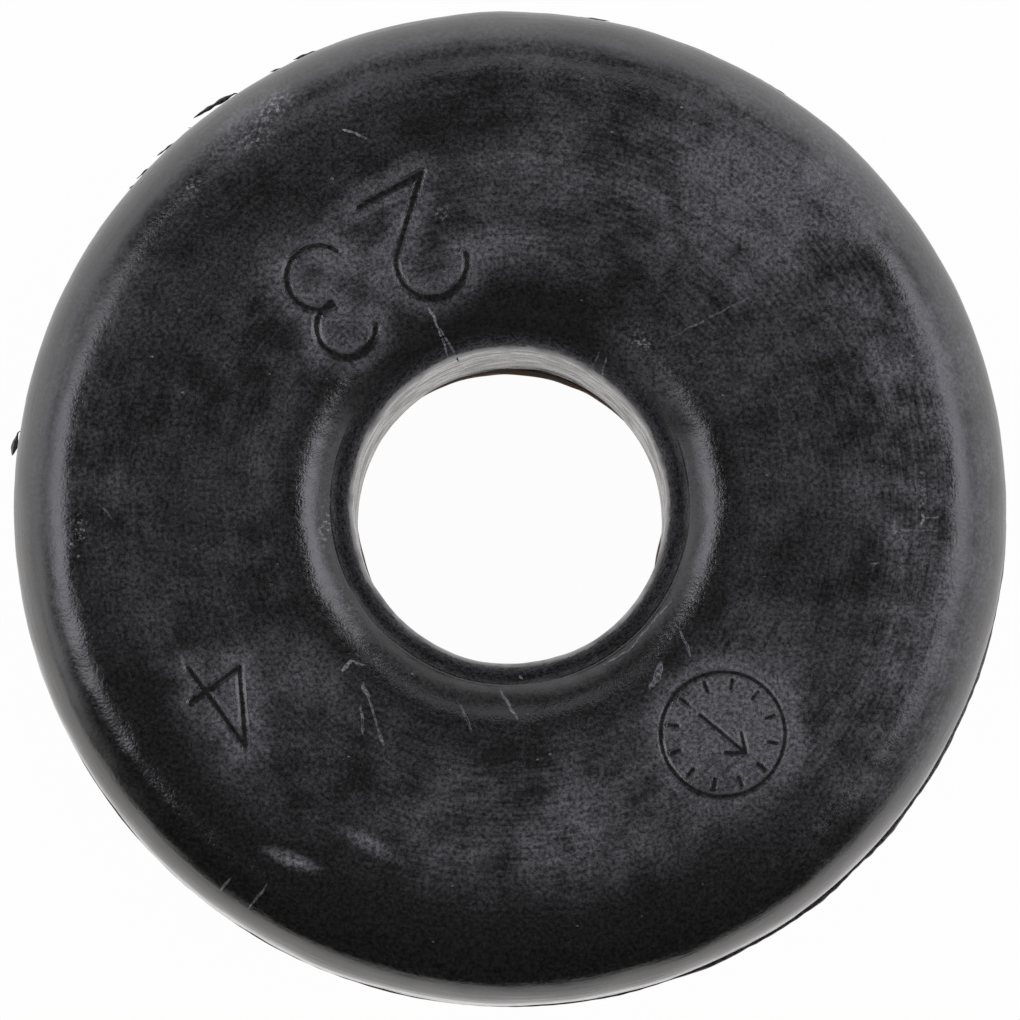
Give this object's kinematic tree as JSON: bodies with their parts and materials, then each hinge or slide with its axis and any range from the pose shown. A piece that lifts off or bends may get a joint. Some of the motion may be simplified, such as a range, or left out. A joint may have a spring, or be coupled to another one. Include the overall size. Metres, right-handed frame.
{
  "type": "pcv valve grommet",
  "caption": "Thick black rubber grommet that seals a crankcase ventilation valve into an engine's valve cover, with a plain bore, a groove for the cover and a snap-in bead.",
  "frame": {"origin": "centre of the flat nose end, on the bore's axis, where the grommet stands", "axes": "+Z along the bore's axis, from the nose that goes into the engine to the flange's outer face; X and Y lie in the flange's plane, and the picture is taken from +Z with +Y at the top"},
  "size_m": [0.038, 0.038, 0.016],
  "materials": {
    "rubber": "satin black moulded rubber"
  },
  "bodies": {
    "root": {"grommet": "rubber"}
  },
  "joints": []
}
